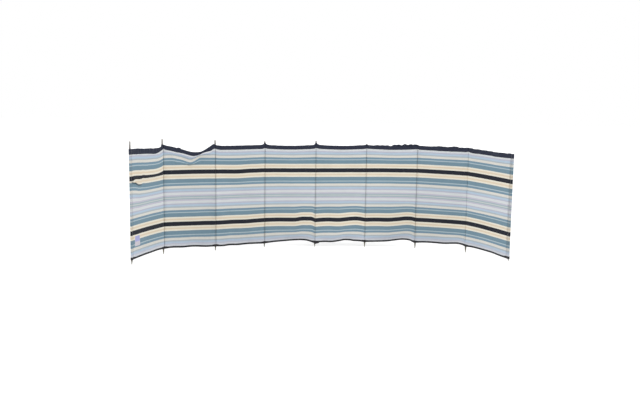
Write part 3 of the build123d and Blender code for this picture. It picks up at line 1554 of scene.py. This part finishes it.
    def _peaks(self, number: int) -> Points:
        """How far the pockets that ride up their poles lift one stretch of the cloth.

        Args:
            number: which stretch of the cloth.

        Returns:
            Lifts in metres, columns by rows.
        """
        distance, spots = self.distances[number], self._spots(0.0)
        if is_pocket(number):
            return GATHERS[number // 2].peaked(np.zeros(len(distance)), 1, spots)
        before, after = GATHERS[number // 2], GATHERS[number // 2 + 1]
        sides = (
            (before, distance - distance[0], before.after),
            (after, distance[-1] - distance, after.before),
        )
        return sum(gather.peaked(away, reach, spots) for gather, away, reach in sides)

    def _bay_grid(self, bay: int) -> Points:
        """Places of one bay of the cloth, columns by rows by 3.

        Args:
            bay: which bay, from 0.

        Returns:
            The places, columns by rows by 3.
        """
        number, hang, spots = 2 * bay + 1, BAY_HANGS[bay], self._spots(self.shares(bay))
        share, up, distance = spots.share, spots.up, self.distances[number][:, None]
        _, along, width = self.layout.bay(bay)
        from_seam = np.minimum(share, 1 - share) * width
        full, gone = self.puckered
        at_hem = (1 - ramp(spots.down, 0, gone)) * ramp(from_seam, 0, full) * hang.pucker * MM

        blow = hang.blow(spots)
        for ripple in self.wrinkles:
            blow = blow + ramp(from_seam, 0, self.held) * ripple.at(distance, up)
        full, gone = self.crimped
        crimps = self.crimps.at(distance, up, bay)
        blow = blow + crimps * ramp(from_seam, 0, full) * (1 - ramp(from_seam, 0, gone))
        blow = blow + at_hem * self.pucker_out.at(distance, up, bay)

        before, after = (GATHERS[seam].lift(spots) for seam in (bay, bay + 1))
        rise = hang.rise(spots) + self._peaks(number)
        rise = rise + before * (1 - share) + after * share
        rise = rise + at_hem * self.pucker_up.at(distance, up, bay)

        first, last = self.layout.seams[bay].bottom, self.layout.seams[bay + 1].bottom
        plan = self.paths[number][:, None, :] + back_of(along) * blow[..., None]
        heights = first + (last - first) * share + up + rise
        return np.concatenate([plan, heights[..., None]], axis=-1)

    def _pocket_grid(self, seam: int) -> Points:
        """Places of one pocket, a little loose round its pole and roomier at the two hems.

        Args:
            seam: which seam, from 0.

        Returns:
            The places, columns by rows by 3.
        """
        number, (bay, share) = 2 * seam, bay_beside(seam)
        spots = self._spots(share)
        path, distance = self.paths[number], self.distances[number][:, None]
        out = path - self.layout.seams[seam].pole
        reach = np.linalg.norm(out, axis=1)[:, None]
        on_loop = reach < self.layout.pole_radius + self.pole_room + self.thickness
        lost = ramp(spots.down, *self.top_zone) * ramp(spots.up, *self.bottom_zone)
        room = self.hem_room * (1 - lost)
        swell = np.sin(np.linspace(0.0, math.pi, len(path)))[:, None]
        loose = np.abs(self.slack.at(distance, spots.up, seam))
        slack = (loose * swell + room * np.sqrt(swell)) * on_loop
        plan = path[:, None, :] + (out / reach)[:, None, :] * slack[..., None]
        rise = self._peaks(number) + GATHERS[seam].lift(spots)
        if seam in (0, BAYS):
            rise = rise + BAY_HANGS[bay].rise(spots)
        heights = self.layout.seams[seam].bottom + spots.up + rise
        return np.concatenate([plan, heights[..., None]], axis=-1)

    def at(self, number: int, up: np.ndarray, lift: np.ndarray | float = 0.0) -> Points:
        """Places on or near one stretch of the cloth, or beyond its edges in the same slope.

        Args:
            number: which stretch.
            up: distances up the cloth, as a row, or as columns by rows.
            lift: distance in front of the middle of the cloth, in the same form.

        Returns:
            Places, columns by heights by 3.
        """
        grid, facing = self.grids[number], self.facings[number]
        up, lift = np.broadcast_arrays(up, lift)
        if up.ndim == 1:
            up, lift = (np.broadcast_to(values, (len(grid), len(values))) for values in (up, lift))
        step = self.up[1] - self.up[0]
        row = np.clip(np.floor(up / step).astype(int), 0, self.rows - 1)
        part = (up / step - row)[..., None]
        column = np.arange(len(grid))[:, None]
        place = grid[column, row] * (1 - part) + grid[column, row + 1] * part
        part = np.clip(part, 0.0, 1.0)
        outward = facing[column, row] * (1 - part) + facing[column, row + 1] * part
        return place + outward * lift[..., None]

    def painted_shade(self, number: int) -> Points:
        """How much painted shade darkens one stretch: beside its seams, over a whole pocket, and in its
        creases.

        Args:
            number: which stretch of the cloth.

        Returns:
            Depths of shade, columns by rows.
        """
        distance, bay = self.distances[number], number // 2
        # A pocket is painted its seam's shade all over.
        if is_pocket(number):
            return np.full((len(distance), len(self.up)), GATHERS[bay].shade)
        # Painted shade beside each seam: even up to the end pockets' edge, and fading away from the
        # other seams.
        shade = np.zeros(len(distance))
        sides = ((bay, distance - distance[0], 1), (bay + 1, distance[-1] - distance, 0))
        for seam, away, side in sides:
            gather = GATHERS[seam]
            if seam in (0, BAYS):
                shade += gather.shade * (1 - ramp(away, *self.painted_shade_edge))
            else:
                shade += gather.shade * np.exp(-((away - self.turn_in) / (gather.fade[side] * MM)) ** 2)
        # Painted shade in the creases and under the lips of the pleats, added to the painted shade at
        # the seams.
        creased = BAY_HANGS[bay].crease_at(self._spots(self.shares(bay)))
        return np.clip(shade, 0.0, 1.0)[:, None] + self.crease_shade * creased

    def build(self) -> None:
        """Makes every bay and pocket, in the place of its plain solid."""
        self.pieces = []
        for number, grid in enumerate(self.grids):
            kind, node = ("pocket", "pocket") if is_pocket(number) else ("bay", "panel")
            uv = np.stack(np.meshgrid(self.distances[number], self.up, indexing="ij"), axis=-1)
            name, painted_shade = f"cloth_{kind}_{number // 2 + 1}", self.painted_shade(number)
            piece = grid_piece(name, grid, uv, self.material, self.thickness, painted_shade)
            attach(piece, BODY)
            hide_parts(f"{node}_{number // 2 + 1}")
            self.pieces.append(piece)


# How far the middle of a thread stands off what it is sewn to.
THREAD_OFF = 0.15 * MM


class Edge(Enum):
    """The two long edges of the cloth."""

    TOP = "top_hem"
    BOTTOM = "bottom_hem"


@dataclass
class Hem:
    """A tape folded over one long edge of the cloth, from end to end.

    Fields:
        cloth: what it is sewn to.
        edge: which edge.
        material: its finish.
        slot: not used.
        width: how far it reaches onto each face of the cloth.
        gathered: how much further it reaches beside a pole.
        spreading: distance from a pole, in millimetres, by which the tape's own width is full.
        gathering: distance from a pole within which it is gathered.
        thickness: of the tape.
        gap: between the tape and the cloth.
        steps: steps across each face of the tape, and round its fold.
        tight: how far the fold stands beyond the cloth where it isn't loose.
        stitched: distance of the stitches from the tape's inner edge.
        ragged: how far the loose fold's height strays, as a share of it.
        most: the most that it strays.
        sway: how far the loose fold leans, as a share of its height.
    """

    cloth: Cloth
    edge: Edge
    material: bpy.types.Material
    slot: str
    width: float
    gathered: float = 0.0
    spreading: float = 40
    gathering: float = 60
    thickness: float = 0.8 * MM
    gap: float = 0.1 * MM
    steps: int = 6
    tight: float = 0.5 * MM
    stitched: float = 3.5 * MM
    ragged: Ripple = Ripple(0.3, along=0.07, up=5.0, seed=120, waves=9)
    most: float = 0.8
    sway: Ripple = Ripple(0.5, along=0.05, up=5.0, seed=140)

    @property
    def lift(self) -> float:
        """Distance from the middle of the cloth to the middle of the tape."""
        return self.cloth.thickness / 2 + self.thickness / 2 + self.gap

    def up(self, depth: np.ndarray) -> np.ndarray:
        """Distances up the cloth for distances in from this edge."""
        return self.cloth.height - depth if self.edge is Edge.TOP else depth

    def _wider(self, bay: int, share: np.ndarray | float) -> np.ndarray:
        """How much wider than elsewhere the tape is at the given shares of a bay."""
        return MM * through(BAY_HANGS[bay].hem, share) * (self.edge is Edge.TOP)

    def widths(self, number: int) -> np.ndarray:
        """How far the tape reaches onto the cloth at each column of one stretch.

        Args:
            number: which stretch of the cloth.

        Returns:
            Widths in metres, one for each column.
        """
        distance, bay = self.cloth.distances[number], number // 2
        if is_pocket(number):
            wider = self._wider(*bay_beside(bay)) if bay in (0, BAYS) else 0.0
            return np.full(len(distance), self.width + self.gathered + wider)
        from_pole = np.minimum(distance - distance[0], distance[-1] - distance)
        joined = np.where(distance < distance.mean(), bay > 0, bay < BAYS - 1)
        held = np.where(joined, ramp(from_pole, 0, self.spreading), 1.0)
        spread = self._wider(bay, self.cloth.shares(bay)) * held
        return self.width + spread + self.gathered * (1 - ramp(from_pole, 0, self.gathering))

    def _loose(self, number: int) -> np.ndarray:
        """How far the tape's fold stands beyond the cloth's edge at each column.

        Args:
            number: which stretch of the cloth.

        Returns:
            Distances in metres, one for each column.
        """
        distance, bay = self.cloth.distances[number], number // 2
        if self.edge is Edge.BOTTOM:
            share = np.zeros(len(distance)) if is_pocket(number) else self.cloth.shares(bay)
            return MM * through(BAY_HANGS[min(bay, BAYS - 1)].below, share)
        if is_pocket(number):
            return np.full(len(distance), self.tight)
        slack = MM * through(BAY_HANGS[bay].loose, self.cloth.shares(bay))
        ragged = np.clip(self.ragged.at(distance, np.zeros(1), bay), -self.most, self.most)
        return np.maximum(slack * (1 + ragged), self.tight)

    def _wrap(self, number: int) -> tuple[Points, Points]:
        """Places of the tape over one stretch of the cloth, and distances along and round it.

        Args:
            number: which stretch of the cloth.

        Returns:
            Places, and distances, columns by steps by 3 and by 2.
        """
        widths, loose = self.widths(number)[:, None], self._loose(number)[:, None]
        inward = np.linspace(1.0, 0.0, self.steps + 1)[None, :]
        turn = np.linspace(0.0, math.pi, self.steps + 1)[None, :]
        beyond = -loose - self.lift * np.sin(turn)
        depth = np.concatenate([widths * inward, beyond, widths * inward[:, ::-1]], axis=1)
        flat = np.full(inward.shape, self.lift)
        off = np.concatenate([flat, self.lift * np.cos(turn), -flat], axis=1)
        distance = self.cloth.distances[number]
        sway = self.sway.at(distance, np.zeros(1), number)[:, None]
        lean = sway * np.maximum(-depth - self.lift, 0.0)
        points = self.cloth.at(number, self.up(depth), np.broadcast_to(off, depth.shape) + lean)
        girth = lengths_along(np.stack([depth.mean(axis=0), off[0]], axis=1))
        return points, np.stack(np.meshgrid(distance, girth, indexing="ij"), axis=-1)

    def build(self) -> list[bpy.types.Object]:
        """Makes the tape over every bay and pocket.

        Returns:
            One piece of tape for each stretch of the cloth.
        """
        pieces = []
        for number in range(BAYS + POLES):
            part = "fold" if is_pocket(number) else "tape"
            points, uv = self._wrap(number)
            name = f"{self.edge.value}_{part}_{number // 2 + 1}"
            piece = grid_piece(name, points, uv, self.material, self.thickness)
            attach(piece, BODY)
            if not is_pocket(number):
                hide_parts(f"{self.edge.value}_{number // 2 + 1}")
            pieces.append(piece)
        return pieces

    def stitch_lines(self) -> list[Points]:
        """Lines near the tape's inner edge, on both faces of each bay.

        Returns:
            One line for each face of each bay.
        """
        lines = []
        off = self.lift + self.thickness / 2 + THREAD_OFF
        for side in (off, -off):
            for number in range(1, 2 * BAYS, 2):
                depth = self.widths(number)[:, None] - self.stitched
                lines.append(self.cloth.at(number, self.up(depth), np.full(depth.shape, side))[:, 0])
        return lines


@dataclass
class Label:
    """The plain label sewn to the first bay.

    Fields:
        cloth: what it is sewn to.
        material: its finish.
        thickness: of the label.
        gap: between the label and the cloth.
        columns: places across it.
        rows: places up it.
        inset: of the stitches from its edges, as shares of its width and height.
        stitched: places on the line of stitches, across the label and up it.
    """

    cloth: Cloth
    material: bpy.types.Material
    thickness: float = 0.6 * MM
    gap: float = 0.3 * MM
    columns: int = 19
    rows: int = 23
    inset: tuple[float, float] = (0.04, 0.03)
    stitched: tuple[int, int] = (15, 18)

    def __post_init__(self) -> None:
        """Reads where its plain solid stands on the first bay."""
        layout = self.cloth.layout
        first, along, self.bay_width = layout.bay(0)
        corners = layout.vertices("sewn_label")
        shares = (corners[:, :2] - first) @ along / self.bay_width
        bottoms = [seam.bottom for seam in layout.seams[:2]]
        heights = corners[:, 2] - bottoms[0] - (bottoms[1] - bottoms[0]) * shares.mean()
        self.left, self.right = shares.min(), shares.max()
        self.low, self.high = heights.min(), heights.max()

    def _places(self, shares: np.ndarray, up: np.ndarray, lift: float) -> Points:
        """Places in front of the first bay of the cloth.

        Args:
            shares: places along the bay, as shares.
            up: distances up the cloth.
            lift: distance in front of the middle of the cloth.

        Returns:
            The places, shares by heights by 3.
        """
        base = self.cloth.at(1, up, np.full(up.shape, lift))
        have = self.cloth.shares(0)
        right = np.clip(np.searchsorted(have, shares), 1, len(have) - 1)
        part = ((shares - have[right - 1]) / (have[right] - have[right - 1]))[:, None, None]
        return base[right - 1] * (1 - part) + base[right] * part

    def build(self) -> None:
        """Makes the label in the place of its plain solid."""
        shares = np.linspace(self.left, self.right, self.columns)
        up = np.linspace(self.low, self.high, self.rows)
        points = self._places(shares, up, self.cloth.thickness / 2 + self.thickness / 2 + self.gap)
        steps = (np.linspace(0, 1, count) for count in (self.columns, self.rows))
        uv = np.stack(np.meshgrid(*steps, indexing="ij"), axis=-1)
        piece = grid_piece("label_patch", points, uv, self.material, self.thickness)
        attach(piece, BODY)
        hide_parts("sewn_label")
        width = float(self.right - self.left) * self.bay_width
        self.high - self.low

    def stitch_line(self) -> Points:
        """The line of stitches round the label, a little inside its edge.

        Returns:
            Places along the closed line.
        """
        across = (self.right - self.left) * self.inset[0]
        along = (self.high - self.low) * self.inset[1]
        shares = np.linspace(self.left + across, self.right - across, self.stitched[0])
        up = np.linspace(self.low + along, self.high - along, self.stitched[1])
        lift = self.cloth.thickness / 2 + self.gap + self.thickness + THREAD_OFF
        grid = self._places(shares, up, lift)
        return np.concatenate([grid[:, 0], grid[-1, 1:], grid[-2::-1, -1], grid[0, -2::-1]])


@dataclass
class Stitching:
    """Rows of running stitches, laid along lines on the cloth.

    Fields:
        pitch: from one stitch to the next.
        length: of one stitch.
        width: of the thread.
        shortest: shortest stitch, as a share of the length.
        longest: longest stitch.
        seed: fixes how the stitches stray.
    """

    pitch: float = 5.0 * MM
    length: float = 3.6 * MM
    width: float = 0.8 * MM
    shortest: float = 0.86
    longest: float = 1.1
    seed: int = 5

    def _tree(self, material: bpy.types.Material) -> tuple[bpy.types.NodeTree, dict[str, str]]:
        """The Geometry Nodes that lay stitches along the edges of a mesh.

        Args:
            material: the thread.

        Returns:
            The tree, and the identifier of each of its named inputs.
        """
        tree = bpy.data.node_groups.new("stitches", "GeometryNodeTree")
        sizes = dict.fromkeys(("Pitch", "Length", "Width"), "Float")
        sockets = {}
        for name, kind in {"Line": "Geometry", **sizes, "Seed": "Int"}.items():
            made = tree.interface.new_socket(name, in_out="INPUT", socket_type=f"NodeSocket{kind}")
            sockets[name] = made.identifier
        tree.interface.new_socket("Stitches", in_out="OUTPUT", socket_type="NodeSocketGeometry")

        nodes = Nodes(tree)
        given = nodes.add("NodeGroupInput").outputs
        curve = nodes.add("GeometryNodeMeshToCurve", inputs={0: given["Line"]})
        spaced = nodes.add(
            "GeometryNodeResampleCurve", {"mode": "LENGTH"}, {"Curve": curve, "Length": given["Pitch"]}
        )
        bead = nodes.add("GeometryNodeMeshIcoSphere", inputs={"Radius": 0.5, "Subdivisions": 1})
        tangent = nodes.add("GeometryNodeInputTangent")
        turned = nodes.add("FunctionNodeAlignRotationToVector", {"axis": "X"}, {"Vector": tangent})
        stray = nodes.add(
            "FunctionNodeRandomValue",
            {"data_type": "FLOAT"},
            {2: self.shortest, 3: self.longest, "Seed": given["Seed"]},
        )
        length = Number(nodes, given["Length"]) * Number(nodes, stray.outputs[1])
        width = given["Width"]
        size = nodes.add("ShaderNodeCombineXYZ", inputs={0: length, 1: width, 2: width})
        laid = nodes.add(
            "GeometryNodeInstanceOnPoints",
            inputs={"Points": spaced, "Instance": bead, "Rotation": turned, "Scale": size},
        )
        real = nodes.add("GeometryNodeRealizeInstances", inputs={0: laid})
        dyed_and_rib_shaded = nodes.add("GeometryNodeSetMaterial", inputs={"Geometry": real, "Material": material})
        nodes.add("NodeGroupOutput", inputs={0: dyed_and_rib_shaded})
        return tree, sockets

    def sew(self, name: str, lines: Sequence[Points], material: bpy.types.Material, slot: str) -> None:
        """Sews stitches along lines, as one plain mesh on the frame.

        Args:
            name: the piece's name.
            lines: the lines, each a list of places.
            material: the thread.
            slot: not used.
        """
        edges, start = [], 0
        for line in lines:
            edges += [(start + step, start + step + 1) for step in range(len(line) - 1)]
            start += len(line)
        mesh = bpy.data.meshes.new(f"{name}_line")
        mesh.from_pydata(np.concatenate(lines).tolist(), edges, [])
        guide = add_object(f"{name}_line", mesh)
        modifier = guide.modifiers.new("stitches", "NODES")
        modifier.node_group, sockets = self._tree(material)
        values = {"Pitch": self.pitch, "Length": self.length, "Width": self.width, "Seed": self.seed}
        for label, value in values.items():
            modifier[sockets[label]] = value
        bpy.context.view_layer.update()
        graph = bpy.context.evaluated_depsgraph_get()
        sewn = bpy.data.meshes.new_from_object(guide.evaluated_get(graph))
        bpy.data.objects.remove(guide)
        sewn.name = name
        sewn.shade_smooth()
        piece = add_object(name, sewn)
        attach(piece, BODY)
        LOG.info("%s: %d faces on %d rows", name, len(sewn.polygons), len(lines))


@dataclass
class Sewing:
    """All the rows of stitches on the windbreak.

    Fields:
        cloth: what is sewn.
        hems: the upper and the lower hem.
        label: the label.
        stitching: the kind of stitch.
        ends: how far short of the cloth's edges the upright rows stop.
        off: how far these stand off the cloth.
        places: how many places each of them goes through.
    """

    cloth: Cloth
    hems: tuple[Hem, Hem]
    label: Label
    stitching: Stitching = field(default_factory=Stitching)
    ends: float = 4 * MM
    off: float = 0.25 * MM
    places: int = 121

    def _seam_lines(self) -> list[Points]:
        """Upright lines of stitches: on the pockets' necks, and on the two end pockets.

        Returns:
            One line of places for each row.
        """
        up = np.linspace(self.ends, self.cloth.height - self.ends, self.places)
        off = np.full(up.shape, self.cloth.thickness / 2 + self.off)
        lines = []
        for seam in range(1, BAYS):
            back = self.cloth.at(2 * seam, up, -off)
            lines += [back[0], back[-1]]
        last = 2 * BAYS - 1
        lines += [self.cloth.at(1, up, off)[0], self.cloth.at(last, up, off)[-1]]
        lines += [self.cloth.at(0, up, -off)[1], self.cloth.at(last + 1, up, -off)[-2]]
        return lines

    def build(self) -> None:
        """Sews every row."""
        navy = Thread("navy_thread", (58, 64, 84)).make()
        dark = Thread("dark_thread", (70, 70, 72)).make()
        pale = Thread("pale_thread", (196, 192, 182)).make()
        sew = self.stitching.sew
        sew("top_hem_stitches", self.hems[0].stitch_lines(), navy, "top_binding")
        sew("bottom_hem_stitches", self.hems[1].stitch_lines(), dark, "bottom_binding")
        sew("seam_stitches", self._seam_lines(), pale, "striped_cloth")
        sew("label_stitches", [self.label.stitch_line()], pale, "label_cloth")


class PoleSet:
    """The nine poles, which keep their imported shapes."""

    def dress(self, material: bpy.types.Material) -> None:
        """Gives each pole its finish.

        Args:
            material: the finish.
        """
        for number in range(1, POLES + 1):
            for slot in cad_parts[f"pole_{number}"].material_slots:
                slot.material = material


# ---- Studio ----


@dataclass(frozen=True)
class Studio:
    """A pale floor, soft light and the camera.

    Fields:
        eye: the camera's place.
        pitch: how far it looks down, in degrees.
        roll: how far it leans, in degrees.
        lens: focal length for a sensor 36 mm wide.
        sky: strength of the light from all round.
        sun: strength of each soft lamp.
        sun_size: how wide each lamp looks from the object, in degrees.
        sun_place: how far in front, as a negative number, and how far up, for 1 to the side.
        floor_size: distance from the middle of the floor to its edges.
        floor_grey: how pale the floor is.
        floor_glow: how much brighter it looks than it is lit.
    """

    eye: tuple[float, float, float] = (0.058, -9.075, 1.759)
    pitch: float = 7.36
    roll: float = 0.82
    lens: float = 41.77
    sky: float = 0.5
    sun: float = 1.4
    sun_size: float = 25
    sun_place: tuple[float, float] = (-0.5, 0.85)
    floor_size: float = 60.0
    floor_grey: float = 0.78
    floor_glow: float = 0.55

    def _camera(self) -> None:
        """Sets up the camera."""
        data = bpy.data.cameras.new("camera")
        data.lens = self.lens
        data.sensor_width = 36.0
        data.clip_end = 200.0
        camera = add_object("camera", data)
        aim = Matrix.Rotation(math.radians(90 - self.pitch), 4, "X")
        lean = Matrix.Rotation(math.radians(self.roll), 4, "Z")
        camera.matrix_world = Matrix.Translation(self.eye) @ aim @ lean
        bpy.context.scene.camera = camera

    def _floor(self) -> None:
        """Lays a wide pale floor that keeps the object's shadow."""
        nodes = MaterialNodes("studio_floor")
        grey = self.floor_grey
        plain = nodes.add("ShaderNodeBsdfDiffuse", inputs={"Color": (grey, grey, grey, 1.0)})
        glow = nodes.add("ShaderNodeEmission", inputs={"Color": WHITE, "Strength": self.floor_glow})
        lit = nodes.add("ShaderNodeAddShader", inputs={0: plain, 1: glow})
        both = nodes.add("ShaderNodeMixShader", inputs={0: nodes.looked_at(), 1: plain, 2: lit})
        nodes.add("ShaderNodeOutputMaterial", inputs={0: both})
        size = self.floor_size
        mesh = bpy.data.meshes.new("floor")
        corners = [(-size, -size, 0.0), (size, -size, 0.0), (size, size, 0.0), (-size, size, 0.0)]
        mesh.from_pydata(corners, [], [(0, 1, 2, 3)])
        mesh.materials.append(nodes.material)
        add_object("floor", mesh)

    def _world(self) -> None:
        """A white surround, dimmer where it lights the object."""
        world = bpy.data.worlds.new("surround")
        world.use_nodes = True
        nodes = Nodes(world.node_tree)
        dim = nodes.add("ShaderNodeBackground", inputs={"Color": WHITE, "Strength": self.sky})
        white = nodes.add("ShaderNodeBackground", inputs={"Color": WHITE, "Strength": 1.0})
        mix = nodes.add("ShaderNodeMixShader", inputs={0: nodes.looked_at(), 1: dim, 2: white})
        nodes.add("ShaderNodeOutputWorld", inputs={0: mix})
        bpy.context.scene.world = world

    def _lamps(self) -> None:
        """Two broad soft lamps, high in front on the left and on the right."""
        for side in (-1, 1):
            data = bpy.data.lights.new("soft_sun", "SUN")
            data.energy = self.sun
            data.angle = math.radians(self.sun_size)
            towards = Vector((side, *self.sun_place)).to_track_quat("Z", "Y")
            add_object("soft_sun", data).matrix_world = towards.to_matrix().to_4x4()

    def build(self) -> None:
        """Makes the floor, the light and the camera."""
        self._camera()
        self._floor()
        self._world()
        self._lamps()
        bpy.context.scene.view_settings.view_transform = "Standard"


def main() -> None:
    """Builds the windbreak and its studio."""
    logging.basicConfig(level=logging.INFO, format="%(name)s: %(message)s")
    layout = Layout()
    cloth = Cloth(layout, StripedCloth().make())
    cloth.build()
    LOG.info("the cloth has %d bays and is %.2f m from end to end", BAYS, cloth.distances[-1][-1])
    navy = Tape("top_tape", (36, 41, 58), (84, 88, 102)).make()
    dark = Tape("bottom_tape", (40, 40, 44), (104, 100, 94)).make()
    top = Hem(cloth, Edge.TOP, navy, "top_binding", width=43 * MM)
    bottom = Hem(cloth, Edge.BOTTOM, dark, "bottom_binding", width=20 * MM, gathered=8 * MM)
    top.build()
    bottom.build()
    LOG.info("the hems are %.0f and %.0f mm wide", top.width / MM, bottom.width / MM)
    label = Label(cloth, LabelCloth().make())
    label.build()
    Sewing(cloth, (top, bottom), label).build()
    PoleSet().dress(BareWood().make())
    LOG.info("pole_1 to pole_%d: dressed", POLES)
    Studio().build()
    LOG.info("floor, light and camera: ready")


if __name__ == "__main__":
    main()
